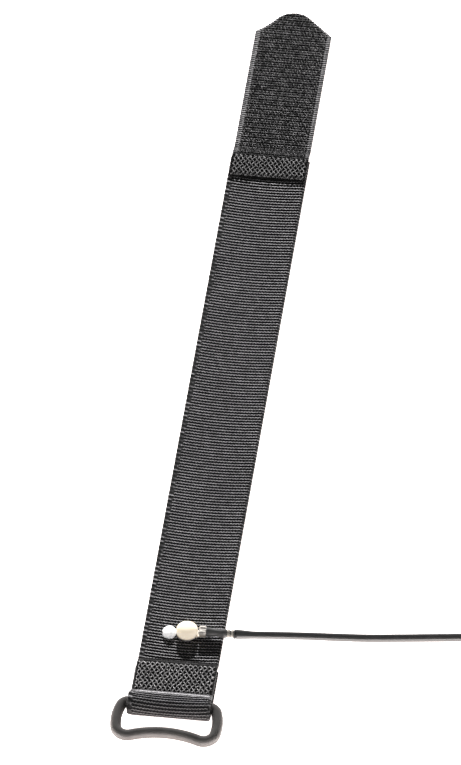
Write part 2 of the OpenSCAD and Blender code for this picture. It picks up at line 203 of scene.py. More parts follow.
def piece(name, part, material, sharp=None, crest=None):
    """A mesh object in the row frame. crest, from 0 to 1, is kept on the points for the materials; on the
    woven strips it carries painted light and shade.
    """
    points, faces = part
    mesh = bpy.data.meshes.new(name)
    mesh.from_pydata(in_frame(points).tolist(), [], faces)
    if crest is not None:
        layer = mesh.attributes.new("crest", "FLOAT", "POINT")
        layer.data.foreach_set("value", np.asarray(crest, np.float32).ravel())
    work = bmesh.new()
    work.from_mesh(mesh)
    bmesh.ops.remove_doubles(work, verts=work.verts, dist=1e-7)
    bmesh.ops.recalc_face_normals(work, faces=work.faces)
    work.to_mesh(mesh)
    work.free()
    mesh.shade_smooth()
    if sharp is not None:
        mesh.set_sharp_from_angle(angle=math.radians(sharp))
    mesh.materials.append(material)
    made = bpy.data.objects.new(name, mesh)
    bpy.context.scene.collection.objects.link(made)
    return made


# ---------------------------------------------------------------- materials

def shader_of(name, colour, roughness, **constants):
    """A new material with its constants on the shader's own sockets."""
    material = bpy.data.materials.new(name)
    material.use_nodes = True
    shader = material.node_tree.nodes["Principled BSDF"]
    shader.inputs["Base Color"].default_value = (*colour, 1)
    shader.inputs["Roughness"].default_value = roughness
    for socket, value in constants.items():
        shader.inputs[socket.replace("_", " ")].default_value = value
    return material, material.node_tree, shader


def noise(tree, scale, detail, stretch=(1, 1, 1)):
    """Noise over the object's own coordinates; scale is in features for each metre."""
    where = tree.nodes.new("ShaderNodeTexCoord")
    mapping = tree.nodes.new("ShaderNodeMapping")
    mapping.inputs["Scale"].default_value = stretch
    texture = tree.nodes.new("ShaderNodeTexNoise")
    texture.inputs["Scale"].default_value = scale
    texture.inputs["Detail"].default_value = detail
    tree.links.new(where.outputs["Object"], mapping.inputs["Vector"])
    tree.links.new(mapping.outputs["Vector"], texture.inputs["Vector"])
    return texture.outputs["Fac"]


def ramp(tree, value, *stops):
    """A colour ramp with stops of (place, colour)."""
    node = tree.nodes.new("ShaderNodeValToRGB")
    while len(node.color_ramp.elements) < len(stops):
        node.color_ramp.elements.new(0.5)
    for element, (place, colour) in zip(node.color_ramp.elements, stops):
        element.position = place
        element.color = (*colour, 1)
    tree.links.new(value, node.inputs["Fac"])
    return node.outputs["Color"]


def spread(tree, value, low, high):
    """The value from 0 to 1 spread from low to high."""
    node = tree.nodes.new("ShaderNodeMapRange")
    node.inputs["To Min"].default_value = low
    node.inputs["To Max"].default_value = high
    tree.links.new(value, node.inputs["Value"])
    return node.outputs["Result"]


def multiplied(tree, first, second):
    """The product of two colours."""
    node = tree.nodes.new("ShaderNodeMix")
    node.data_type = "RGBA"
    node.blend_type = "MULTIPLY"
    node.inputs["Factor"].default_value = 1.0
    tree.links.new(first, node.inputs["A"])
    tree.links.new(second, node.inputs["B"])
    return node.outputs["Result"]


def bump(tree, shader, height, distance):
    """A bump of this many metres on the shader."""
    node = tree.nodes.new("ShaderNodeBump")
    node.inputs["Distance"].default_value = distance
    tree.links.new(height, node.inputs["Height"])
    tree.links.new(node.outputs["Normal"], shader.inputs["Normal"])


def woven(name, groove, flank, crest, roughness, sheen):
    """Woven yarn whose colour holds painted shade in its grooves and a painted highlight along its crests.
    """
    material, tree, shader = shader_of(name, crest, roughness, Sheen_Weight=sheen, Sheen_Roughness=0.4)
    height = tree.nodes.new("ShaderNodeAttribute")
    height.attribute_name = "crest"
    # Painted shade and highlight: the crest attribute runs from the groove colour (painted shade) to the
    # crest colour (painted highlight).
    yarn = ramp(tree, height.outputs["Fac"], (0.08, groove), (0.4, flank), (0.9, crest))
    patches = ramp(tree, noise(tree, 90, 2), (0.3, (0.95, 0.95, 0.955)), (0.7, (1.05, 1.045, 1.05)))
    fibres = ramp(tree, noise(tree, 2600, 4), (0.3, (0.78, 0.78, 0.79)), (0.72, (1.24, 1.23, 1.24)))
    coloured = multiplied(tree, multiplied(tree, yarn, patches), fibres)
    tree.links.new(coloured, shader.inputs["Base Color"])
    rough = spread(tree, noise(tree, 900, 3), roughness - 0.1, roughness + 0.12)
    tree.links.new(rough, shader.inputs["Roughness"])
    bump(tree, shader, noise(tree, 5200, 4), 0.00006)
    return material


def thread_material():
    """Polyester thread with a twist. The crest attribute, from 0 to 1, says how bleached it is."""
    material, tree, shader = shader_of("thread", (0.1, 0.1, 0.1), 0.6, Sheen_Weight=0.1)
    tone = ramp(tree, noise(tree, 1500, 4), (0.36, (0.035, 0.034, 0.035)), (0.64, (0.6, 0.585, 0.588)))
    bleached = tree.nodes.new("ShaderNodeAttribute")
    bleached.attribute_name = "crest"
    shade = ramp(tree, bleached.outputs["Fac"], (0.0, (0.2, 0.2, 0.2)), (1.0, (1, 1, 1)))
    tree.links.new(multiplied(tree, tone, shade), shader.inputs["Base Color"])
    bump(tree, shader, noise(tree, 6000, 3), 0.00004)
    return material


def satin_coat(name, colour, worn, roughness):
    """A dark satin metal coat, a little lighter and smoother where it is worn."""
    material, tree, shader = shader_of(name, colour, roughness, Metallic=0.8,
                                       Specular_Tint=(0.3, 0.29, 0.285, 1.0))
    tone = ramp(tree, noise(tree, 220, 5), (0.35, colour), (0.75, worn))
    tree.links.new(tone, shader.inputs["Base Color"])
    rough = spread(tree, noise(tree, 500, 4), roughness - 0.05, roughness + 0.08)
    tree.links.new(rough, shader.inputs["Roughness"])
    bump(tree, shader, noise(tree, 3800, 3), 0.000012)
    return material


def metal(name, colour, roughness, grain=(1, 1, 1), share=1.0):
    """Bare metal with a fine grain and faint tarnish. A dull plating has a smaller metallic share."""
    material, tree, shader = shader_of(name, colour, roughness, Metallic=share)
    dull = tuple(0.82 * c for c in colour)
    tone = ramp(tree, noise(tree, 400, 4), (0.35, dull), (0.65, colour))
    tree.links.new(tone, shader.inputs["Base Color"])
    streaks = noise(tree, 1500, 4, grain)
    rough = spread(tree, streaks, roughness - 0.08, roughness + 0.12)
    tree.links.new(rough, shader.inputs["Roughness"])
    bump(tree, shader, streaks, 0.00001)
    return material


def moulded(name, colour, roughness, fleck=1.35, grain=0.00001, **constants):
    """Moulded plastic or rubber with a fine skin texture."""
    material, tree, shader = shader_of(name, colour, roughness, **constants)
    light = tuple(min(1.0, fleck * c) for c in colour)
    tone = ramp(tree, noise(tree, 600, 4), (0.35, colour), (0.75, light))
    tree.links.new(tone, shader.inputs["Base Color"])
    rough = spread(tree, noise(tree, 900, 3), roughness - 0.05, roughness + 0.1)
    tree.links.new(rough, shader.inputs["Roughness"])
    bump(tree, shader, noise(tree, 4200, 3), grain)
    return material


# Groove colours are painted shade and crest colours painted highlight, for the webbing and the hook tape.
WEBBING = woven("webbing", (0.001, 0.001, 0.001), (0.026, 0.0255, 0.026), (0.92, 0.9, 0.912), 0.7, 0.1)
HOOK_TAPE = woven("hook_tape", (0.003, 0.003, 0.003), (0.036, 0.0355, 0.0355), (0.62, 0.61, 0.61), 0.7, 0.05)
THREAD = thread_material()
RING_WIRE = satin_coat("ring_wire", (0.25, 0.238, 0.232), (0.33, 0.315, 0.306), 0.52)
PLATE = metal("plate_steel", (0.62, 0.62, 0.63), 0.3, (1, 12, 1))
# The rivet head's white base and its emission are painted light: a painted highlight for the bright plated
# head, and a painted glow.
RIVET = moulded("rivet_metal", (0.97, 0.96, 0.955), 0.5, 1.01, Subsurface_Weight=1.0,
                Subsurface_Radius=(1.0, 0.97, 0.95), Subsurface_Scale=0.003,
                Emission_Color=(1.0, 0.985, 0.98, 1.0), Emission_Strength=0.35)
SPRING = metal("spring_metal", (0.72, 0.55, 0.3), 0.3)
# The cap's cream is its own colour; its emission is a painted glow that lifts the side turned away from the
# key.
CAP = moulded("cap_cream", (0.6, 0.535, 0.415), 0.5, 1.01, 0.000004, Subsurface_Weight=1.0,
              Subsurface_Radius=(1.0, 0.85, 0.65), Subsurface_Scale=0.004,
              Emission_Color=(1.0, 0.925, 0.81, 1.0), Emission_Strength=0.46)
TINNED = metal("tinned_metal", (0.95, 0.89, 0.82), 0.3, share=0.3)
FERRULE = metal("ferrule_metal", (0.74, 0.69, 0.62), 0.35, share=0.4)
COPPER = metal("copper", (0.75, 0.36, 0.2), 0.3, (12, 1, 12))
RESISTOR = moulded("resistor_body", (0.66, 0.5, 0.3), 0.3, 1.15)
SLEEVE = moulded("sleeve_black", (0.07, 0.069, 0.069), 0.42, Specular_IOR_Level=1.0, IOR=1.7)
JACKET = moulded("jacket", (0.032, 0.0315, 0.032), 0.28, Specular_IOR_Level=1.0, IOR=1.8, Coat_Weight=0.6)
TIE = moulded("tie", (0.02, 0.02, 0.02), 0.6, 1.6, 0.00004)
PLUG_PLASTIC = moulded("plug_plastic", (0.014, 0.014, 0.015), 0.4, 1.5)
PLUG_METAL = metal("plug_metal", (0.78, 0.72, 0.58), 0.22)


# ---------------------------------------------------------------- camera

CAMERA_ELEVATION = 42.772              # degrees above the table
CAMERA_AZIMUTH = 7.091                 # degrees to the right of the band's line
CAMERA_DISTANCE = 6.0
CAMERA_LENS, SENSOR = 915.14, 36.0     # millimetres
AIM_RIGHT, AIM_AHEAD = 0.018491, 0.14379     # metres from the bar's middle to the point looked at


def look_from_photo_side():
    """A long lens at 43 degrees above the table, a little to the right of the band's line."""
    elevation, azimuth = math.radians(CAMERA_ELEVATION), math.radians(CAMERA_AZIMUTH)
    ahead = Vector((-math.sin(azimuth), math.cos(azimuth), 0))
    right = Vector((math.cos(azimuth), math.sin(azimuth), 0))
    target = Vector((0, BAR.y, BAR.z)) + AIM_RIGHT * right + AIM_AHEAD * ahead
    gaze = ahead * math.cos(elevation) - Vector((0, 0, 1)) * math.sin(elevation)
    data = bpy.data.cameras.new("camera")
    data.sensor_width = SENSOR
    data.lens = CAMERA_LENS
    data.clip_start, data.clip_end = 0.1, 40
    camera = bpy.data.objects.new("camera", data)
    camera.location = target - CAMERA_DISTANCE * gaze
    camera.rotation_euler = gaze.to_track_quat("-Z", "Y").to_euler()
    bpy.context.scene.collection.objects.link(camera)
    bpy.context.scene.camera = camera


look_from_photo_side()


# ---------------------------------------------------------------- lead

CORD_D = 2.5
CORD_R = CORD_D / 2
# The lead's line from the snap to the coil, and from the coil to the plug, as x, v, z
RUN_POINTS = [(16.2, 33, 3.4), (20, 33.35, 3.3), (25, 34.15, 3), (31, 35.25, 2.5), (38, 36.45, 1.95),
              (46, 37.5, 1.5), (56, 38.6, 1.25), (66, 39.9, 1.25), (76, 41.3, 1.25), (86, 42.7, 1.25),
              (96, 44.2, 1.25), (104, 45.5, 1.4), (108, 46.25, 1.55)]
TAIL_POINTS = [(130.5, 75.5, 8.7), (130.4, 80, 7.2), (130, 85, 5), (129.3, 90, 2.9), (128.2, 95, 1.6),
               (127, 100, 1.25), (125.9, 104.5, 1.35), (125, 109, 2.1), (124.3, 113, 3.3),
               (124, 116, 4.2), (124, 118, 4.5)]
COIL_X, COIL_V = 108.5, 68.3
COIL_RADII = [21.75, 19.25, 16.75, 14.25]
COIL_HEIGHTS = [1.65, 4.15, 6.65, 9.15]
TURN_STEPS = 72
CROSSOVER = 0.16      # share of a turn over which the lead moves to the next place
ENTER = -80.8         # angle at which the lead joins the coil
LINE_STEPS = 6        # steps between two of the listed points
FLARE = 0.36          # how much thicker the jacket is where it starts
FLARE_LENGTH = 6
TIE_ANGLE = 300       # where the tie is, round the coil
TIE_HALF = 5.35       # half of the height of the tie's loop
TIE_CORNER = 1.1
TIE_LAP = 0.42        # how far the tie's end lies outside its start


def smooth_line(points, steps):
    """A smooth curve through the points, with this many steps in each gap."""
    p = np.asarray(points, float)
    p = np.concatenate([p[:1], p, p[-1:]])
    t = (np.arange(steps) / steps)[:, None]
    runs = []
    for a, b, c, d in zip(p[:-3], p[1:-2], p[2:-1], p[3:]):
        runs.append(b + t * (c - a) / 2 + t**2 * (2 * a - 5 * b + 4 * c - d) / 2
                    + t**3 * (3 * b - a - 3 * c + d) / 2)
    return np.concatenate([*runs, p[-1:]])


def coil_places():
    """The radius and height of each turn, from the one that the lead joins to the one that it leaves."""
    places = []
    for row, height in enumerate(COIL_HEIGHTS):
        radii = COIL_RADII if row % 2 == 0 else COIL_RADII[::-1]
        places += [(radius, height) for radius in radii]
    return places


def coil_line():
    """The wound part of the lead. Each turn keeps its place, and moves to the next near its end."""
    places = coil_places()
    turns = len(places) - 1 - ENTER / 360
    step = np.arange(int(turns * TURN_STEPS) + 1) / TURN_STEPS
    turn = np.minimum(step.astype(int), len(places) - 1)
    following = np.minimum(turn + 1, len(places) - 1)
    move = smoothstep((step - turn - (1 - CROSSOVER)) / CROSSOVER)
    now, after = np.array(places)[turn], np.array(places)[following]
    radius, height = (now + (after - now) * move[:, None]).T
    angle = np.radians(ENTER + 360 * step)
    return np.stack([COIL_X + radius * np.cos(angle), COIL_V + radius * np.sin(angle), height], axis=-1)


def make_lead():
    """The whole lead as one tube, with the points that it follows."""
    coil = coil_line()
    into = smooth_line(RUN_POINTS + [tuple(coil[0])], LINE_STEPS)[:-1]
    out = smooth_line([tuple(coil[-1])] + TAIL_POINTS, LINE_STEPS)[1:]
    line = np.concatenate([into, coil, out])
    gone = np.concatenate([[0], np.cumsum(np.linalg.norm(np.diff(line, axis=0), axis=1))])
    flare = FLARE * (1 - smoothstep(gone / FLARE_LENGTH))
    lead = piece("lead", wire(line, CORD_R + flare, 16), JACKET)
    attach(lead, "lead")
    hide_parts("cord_run", "cord_coil", "cord_tail")
    return lead, in_frame(line)


def tie_loop():
    """The tie's line round the coil's section, as outward and up, with its end lapped over."""
    inner = TIE_HALF - TIE_CORNER
    loop = [(TIE_HALF + 0.02, -1.0), (TIE_HALF, 1.5)]
    for k, (side, rise) in enumerate(((1, 1), (-1, 1), (-1, -1), (1, -1))):
        for a in np.linspace(0, np.pi / 2, 7) + k * np.pi / 2:
            loop.append((inner * side + TIE_CORNER * math.cos(a), inner * rise + TIE_CORNER * math.sin(a)))
    loop += [(TIE_HALF, -3.2), (TIE_HALF + 0.1, -2.4), (TIE_HALF + 0.36, -1.2),
             (TIE_HALF + TIE_LAP, 0.6), (TIE_HALF + TIE_LAP, 2.4)]
    return np.array(loop)


def make_tie():
    """A flat strap round the coil's section."""
    angle = math.radians(TIE_ANGLE)
    outward = np.array([math.cos(angle), math.sin(angle), 0])
    width = np.array([-outward[1], outward[0], 0])
    coil_r = (COIL_RADII[0] + COIL_RADII[-1]) / 2
    coil_z = (COIL_HEIGHTS[0] + COIL_HEIGHTS[-1]) / 2
    middle = np.array([COIL_X, COIL_V, coil_z]) + coil_r * outward
    loop = tie_loop()
    path = middle + loop[:, :1] * outward + loop[:, 1:] * np.array([0, 0, 1])
    section = np.array([(2.5, -0.18), (2.5, 0.18), (2.3, 0.2), (-2.3, 0.2), (-2.5, 0.18), (-2.5, -0.18),
                        (-2.3, -0.2), (2.3, -0.2)])
    along = unit(np.gradient(path, axis=0))
    rise = np.cross(along, width)
    grid = path[:, None] + section[None, :, :1] * width + section[None, :, 1:] * rise[:, None]
    tie = piece("tie", skin(grid), TIE, sharp=50)
    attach(tie, "lead")
    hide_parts("cord_tie")
    return tie


PLUG_X, PLUG_V, PLUG_Z = 124.0, 118.0, 4.5
BOOT_LEN, GRIP_LEN, PIN_LEN = 10.0, 24.0, 19.0
GRIP_R, STEM_R = 4.5, 1.5


def make_boot():
    """The plug's tapered strain relief, with flex grooves."""
    profile = [(0, 0), (0, 1.45), (0.15, 1.8)]
    for k in range(5):
        start = 0.5 + 1.75 * k
        radius = 1.9 + 0.125 * start
        profile += [(start, radius), (start + 1.0, radius + 0.1), (start + 1.15, radius - 0.35),
                    (start + 1.6, radius - 0.3)]
    profile += [(9.3, 3.1), (BOOT_LEN, 3.2), (BOOT_LEN, 0)]
    return piece("plug_boot_ribbed", turned(soften(profile, 1), (PLUG_X, PLUG_V, PLUG_Z), "y", 48),
                 PLUG_PLASTIC, sharp=50)


def make_grip():
    """The plug's fluted grip."""
    start, stop = BOOT_LEN, BOOT_LEN + GRIP_LEN

    def flutes(along, turn):
        depth = smoothstep((along - start - 3) / 3) * smoothstep((stop - 4 - along) / 3)
        return 1 - 0.05 * depth * (0.5 + 0.5 * np.cos(12 * turn)) ** 2

    body = [(start, 0), (start, 3.4), (start + 0.4, 4.1), (start + 1.0, GRIP_R)]
    body += [(v, GRIP_R) for v in np.linspace(start + 1.6, stop - 3.4, 22)]
    body += [(stop - 3.0, 4.15), (stop - 2.7, 4.15), (stop - 2.3, GRIP_R), (stop - 1.0, GRIP_R),
             (stop - 0.3, 4.2), (stop, 3.6), (stop, STEM_R), (stop - 0.6, STEM_R), (stop - 0.6, 0)]
    return piece("plug_grip_fluted", turned(body, (PLUG_X, PLUG_V, PLUG_Z), "y", 96, flutes),
                 PLUG_PLASTIC, sharp=50)


def make_pin():
    """The plug's stem, with a rounded nose."""
    start = BOOT_LEN + GRIP_LEN - 1.6
    stop = BOOT_LEN + GRIP_LEN + PIN_LEN
    profile = [(start, 0), (start, STEM_R), (stop - 3.2, STEM_R), (stop - 3.0, 1.75), (stop - 1.6, 1.75),
               (stop - 0.6, 1.25), (stop, 0.45), (stop, 0)]
    return piece("plug_pin_turned", turned(soften(profile, 1), (PLUG_X, PLUG_V, PLUG_Z), "y", 48),
                 PLUG_METAL, sharp=45)


def make_cage():
    """The spring cage: six bowed leaves between two collars."""
    start = BOOT_LEN + GRIP_LEN + 2.5
    stop = start + 13.5
    parts = []
    for v in (start, stop - 1.2):
        parts.append(turned([(v, STEM_R), (v, STEM_R + 0.2), (v + 1.2, STEM_R + 0.2), (v + 1.2, STEM_R)],
                            (PLUG_X, PLUG_V, PLUG_Z), "y", 36))
    for k in range(6):
        turn = math.radians(60 * k + 30)
        v = np.linspace(start + 0.6, stop - 0.6, 15)
        bow = STEM_R + 0.1 + 0.36 * np.sin(np.pi * (v - v[0]) / (v[-1] - v[0])) ** 0.7
        out = np.array([math.sin(turn), 0, math.cos(turn)])
        path = np.array([PLUG_X, PLUG_V, PLUG_Z]) + bow[:, None] * out + v[:, None] * np.array([0, 1, 0])
        leaf = np.array([(0.62, 0), (0.55, 0.09), (0, 0.13), (-0.55, 0.09), (-0.62, 0), (0, -0.05)])
        parts.append(sweep(path, leaf, out))
    return piece("plug_cage", together(parts), PLUG_METAL, sharp=50)


lead, lead_path = make_lead()
tie = make_tie()
plug = [make_boot(), make_grip(), make_pin(), make_cage()]
for made, node in zip(plug, ("plug_boot", "plug_grip", "plug_pin", "plug_spring")):
    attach(made, "lead")
    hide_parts(node)


# ---------------------------------------------------------------- webbing

SELVAGE_DEPTH = 0.12       # how deep the loops of an edge are
CREST_WIDTH = 0.165        # how wide the light line on a rib is, as a share of the rib


def jitter(row, column):
    """A fixed random number from -1 to 1 for each row and column."""
    rows, columns = JITTER.shape
    return JITTER[np.mod(row.astype(int), rows), np.mod(column.astype(int), columns)]


def ribs(x, s, pitch, bead, wave, uneven, bow):
    """Relief, and lightness from 0 to 1, of ribs across the strip, each a wavy line of yarn beads; the
    lightness is a painted highlight along each crest, with painted shade between.
    """
    place = (s + bow * (1 - (x / BAND_HALF) ** 2) - RIB_FROM) / pitch
    row = np.floor(place)
    phase = place - row
    count = x / bead + 0.5 * np.mod(row, 2) + 0.3 * jitter(row, 0 * row)
    loose = 0.5 + 0.5 * jitter(row, np.floor(count))
    turn = 2 * np.pi * count
    line = 0.5 + wave * np.sin(turn)
    # Painted highlight: a bright wavy line along each rib's crest, with painted shade over the rest of the
    # rib.
    light = np.exp(-(((phase - line) / CREST_WIDTH) ** 2))
    relief = np.sin(np.pi * phase) ** 0.85 * (0.62 + 0.38 * light)
    return relief, light * (1 - uneven + uneven * loose) * (0.78 + 0.22 * np.cos(2 * turn))


def strip_loop(half, thick, columns, under):
    """One section of a strip, less its thickness: x, and the outward direction as x and height."""
    edge = thick / 2
    turn = np.linspace(0, np.pi, 8)[1:-1]
    top = np.linspace(-half + edge, half - edge, columns)
    low = np.linspace(half - edge, -half + edge, under)
    x = np.concatenate([top, np.full(len(turn), half - edge), low, np.full(len(turn), edge - half)])
    out_x = np.concatenate([0 * top, np.sin(turn), 0 * low, -np.sin(turn)])
    out_h = np.concatenate([0 * top + 1, np.cos(turn), 0 * low - 1, -np.cos(turn)])
    return x, out_x, out_h


def selvages(x, s, half, pitch, widths, knots):
    """Share of the ribbed ground, and the looped yarn of the left and right edges."""
    left = x < 0
    reach = (half - np.abs(x)) / np.where(left, *widths)
    field = smoothstep(reach * 2.2 - 1.5)
    beat = (s - RIB_FROM) / (pitch * np.where(left, *knots)) + 0.35 * reach
    loose = 0.5 + 0.5 * jitter(np.floor(beat), np.floor(3 * reach))
    knot = np.abs(np.sin(np.pi * beat)) ** 2.2 * (0.45 + 0.55 * loose)
    cord = 0.2 * np.exp(-(((reach - 0.75) / 0.12) ** 2))
    return field, np.clip(knot + cord, 0, 1)


def woven_strip(path, places, half, thick, pitch, bead, depth, columns=200, under=60, halves=None,
                widths=(1.9, 0.9), knots=(1.5, 1.0), wave=0.13, uneven=0.16, bow=0.0, edge=(0.14, 0.4),
                warp=None, extra=None):
    """A woven strip along a path. path(s) gives v, z and the normal at the middle of its thickness."""
    x, out_x, out_h = strip_loop(half, thick, columns, under)
    s = np.asarray(places, float)[:, None]
    v, z, normal_v, normal_z = (np.broadcast_to(value, s.shape) for value in path(s))
    scale = np.ones_like(s) if halves is None else halves(s, x < 0) / half
    across = x[None] * scale
    shift = np.where(out_h > 0, 0, pitch / 2)[None]
    rows = s if warp is None else warp(s)
    relief, light = ribs(across, rows + shift, pitch, bead, wave, uneven, bow)
    field, knot = selvages(x[None], s, half, pitch, widths, knots)
    relief = relief * field + 0.9 * knot * (1 - field)
    # Painted light on the edges: each knot of the looped edge gets a painted highlight, and painted shade
    # lies between.
    light = light * field + (edge[0] + edge[1] * knot) * (1 - field)
    if extra is not None:
        relief, light = extra(across, v, relief, light, out_h[None])
    inset = thick / 2 - depth + depth * relief
    height = out_h[None] * inset
    side = out_x[None] * scale * (thick / 2 - SELVAGE_DEPTH * (1 - relief))
    grid = np.stack([across + side, v + normal_v * height, z + normal_z * height], axis=-1)
    return skin(grid), light


def flat_path(middle):
    """A path that lies level at a height."""
    return lambda s: (s, middle + 0 * s, 0 * s, 1 + 0 * s)


def stations(start, stop, pitch, steps=8):
    """Places from start to stop, an exact number for each pitch."""
    count = max(2, int(round((stop - start) / pitch * steps)))
    return np.linspace(start, stop, count + 1)


def bent(made):
    """Bakes the piece's place into its mesh. The piece lies about one hinge, between the middles of the
    spans beside it; nothing here bends it.
    """
    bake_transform(made)


PLATE_X = (-4.2, SNAP_X)      # the contact plate reaches from the rivet to the snap
PLATE_R = 4.7
PLATE_RELIEF = -0.35          # relief of the webbing's underside over the plate


def under_plate(x, v, relief, light, out_h):
    """Leaves room under the mount for the contact plate."""
    near_x = np.clip(x, *PLATE_X)
    inside = np.hypot(x - near_x, v - SNAP_V) < PLATE_R
    return np.where(inside & (out_h < 0), PLATE_RELIEF, relief), light


def under_lattice(x, v, relief, light, out_h):
    """The sewing presses the fold's upper face down, and its colour there is painted shade; the slope over
    the bar and the loop's front get painted light, and the ramp painted shade.
    """
    upper = out_h > 0
    front_v, ramp_v = -1.5, FOLD_END + 0.3
    sewn = upper & (v > FOLD_MEET) & (v < ramp_v)
    slope = upper & (v > front_v) & (v < FOLD_MEET)
    front = upper & (v <= front_v)
    ramp = upper & (v >= ramp_v)
    # Painted shade where sewn and on the ramp; painted light on the slope that faces the key and on the
    # loop's front.
    light = np.select([sewn, slope, front, ramp],
                      [0.25 * light, 0.13 + 0.75 * light, 0.2 + 0.64 * light, 0.6 * light], light)
    return np.where(sewn, 0.4 * relief, relief), light


def closer_rows(s):
    """The ribs lie closer together where the webbing is pulled round the bar."""
    return s + 0.5 * np.minimum(s - FOLD_MEET, 0)


def loop_half(s, left):
    """Half of the folded webbing's width, which swells a little round the bar."""
    return BAND_HALF + 0.35 * smoothstep((FLAT_FROM - s - 16) / 6)


def webbing(name, start, stop, extra=None):
    """A flat length of the webbing."""
    part, light = woven_strip(flat_path(BAND_T / 2), stations(start, stop, RIB_PITCH), BAND_HALF, BAND_T,
                              RIB_PITCH, BEAD_PITCH, RIB_DEPTH, bow=RIB_BOW, extra=extra)
    return piece(name, part, WEBBING, crest=light)


def make_webbing():
    """The single layer, in lengths that each reach over one hinge."""
    first = HINGES[0] - SPAN / 2
    mount = webbing("webbing_mount", FLAT_FROM, first, under_plate)
    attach(mount, "root")
    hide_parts("band_mount")
    for k in range(11):
        start = HINGES[k] - SPAN / 2
        length = webbing(f"webbing_{k + 1:02d}", start, start + SPAN)
        bent(length)
        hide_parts(f"band_{k + 1:02d}" if k < 10 else "band_end")
    end = webbing("webbing_end", HINGES[10] + SPAN / 2, BAND_STOP)
    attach(end, "span_11")


def fold_line():
    """The middle of the webbing from its single layer, over the ring's bar and back underneath, as v, z."""
    low = BAND_T / 2
    high = BAND_T + low
    loop_r = BAR_Z - low
    slack = 1.2
    crest_v = 0.4
    ramp_v = np.linspace(FLAT_FROM, FOLD_END, 12)
    ramp_z = low + (high - low) * smoothstep((FLAT_FROM - ramp_v) / (FLAT_FROM - FOLD_END))
    crest_z = BAR_Z + loop_r
    slope_v = np.linspace(FOLD_MEET, crest_v, 26)
    slope_z = high + (crest_z - high) * smoothstep((FOLD_MEET - slope_v) / (FOLD_MEET - crest_v))
    turn = np.linspace(np.pi / 2, 3 * np.pi / 2, 40)
    loop_v = -slack + loop_r * np.cos(turn)
    loop_z = BAR_Z + loop_r * np.sin(turn)
    v = np.concatenate([ramp_v, slope_v, loop_v, [FOLD_END]])
    z = np.concatenate([ramp_z, slope_z, loop_z, [low]])
    return np.stack([v, z], axis=-1)


def fold_path():
    """The fold's line by distance along it, counted down from the single layer."""
    line = fold_line()
    gone = np.concatenate([[0], np.cumsum(np.linalg.norm(np.diff(line, axis=0), axis=1))])

    def at(s):
        along = FLAT_FROM - s
        v, z = np.interp(along, gone, line[:, 0]), np.interp(along, gone, line[:, 1])
        step = 0.5
        ahead = [np.interp(along + step, gone, line[:, k]) for k in (0, 1)]
        behind = [np.interp(along - step, gone, line[:, k]) for k in (0, 1)]
        dv, dz = ahead[0] - behind[0], ahead[1] - behind[1]
        size = np.maximum(np.hypot(dv, dz), 1e-9)
        return v, z, dz / size, -dv / size

    return at, gone[-1]


def make_fold():
    """The folded end round the ring's bar."""
    path, length = fold_path()
    places = stations(FLAT_FROM - length, FLAT_FROM, RIB_PITCH, 10)
    part, light = woven_strip(path, places, BAND_HALF, BAND_T, RIB_PITCH, BEAD_PITCH, 0.3, 150, 80,
                              halves=loop_half, bow=RIB_BOW, warp=closer_rows, extra=under_lattice)
    fold = piece("webbing_fold", part, WEBBING, crest=light)
    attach(fold, "root")
    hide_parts("band_fold")


# ---------------------------------------------------------------- hook tape

TAPE_TOP = 0.85       # thickness of the tape's woven ground; the hooks stand on it
HOOK_PITCH = 1.1      # distance across between two hooks
HOOK_MARGIN = 1.9     # width along each edge that has no hooks
HOOKS_FROM = BAND_STOP + 0.4      # the part that is sewn to the band has no hooks


def tape_path(s):
    """The tape lies on the band, then steps down to the table."""
    step = smoothstep((s - BAND_STOP - 0.3) / 5.5)
    z = BAND_T * (1 - step) + TAPE_TOP / 2
    z = z - 0.45 * (1 - smoothstep((s - TAPE_START + 0.3) / 1.3))
    slope = np.gradient(z, axis=0) / np.gradient(s, axis=0)
    size = np.sqrt(1 + slope**2)
    return s, z, -slope / size, 1 / size


def on_step(s):
    """Share from 0 to 1 of the slope down from the band, where the ground gets painted shade."""
    return smoothstep((s - BAND_STOP + 1) / 1.5) * smoothstep((BAND_STOP + 7 - s) / 2)


def tape_half(s, left):
    """Half of the tape's width, which tapers to a rounded tip. It leans a little to the left."""
    tip_r, reach = 6.0, math.radians(48)
    shoulder = TIP_END - 9.5
    arc_v = TIP_END - tip_r
    bend_v, bend_x = arc_v + tip_r * math.cos(reach), tip_r * math.sin(reach)
    along = (s - shoulder) / (bend_v - shoulder)
    lean = left * (0.9 * smoothstep(along) - 0.5 * np.sin(np.pi * np.clip(along, 0, 1)))
    line = TAPE_HALF + (bend_x - TAPE_HALF) * along
    arc = np.sqrt(np.clip(tip_r**2 - (s - arc_v) ** 2, 0.02, None))
    return np.where(s < shoulder, TAPE_HALF, np.where(s < bend_v, line, arc)) + lean


def hook_shape():
    """One hook: a stem that leans and curls over."""
    turn = np.linspace(0, 1.25 * np.pi, 8)
    curl = np.stack([0 * turn, 0.24 - 0.24 * np.cos(turn), 0.4 + 0.24 * np.sin(turn)], axis=-1)
    line = np.concatenate([[(0, 0, -0.1), (0, 0, 0.2)], curl])
    return wire(line, 0.085, 5, up=(1, 0, 0))


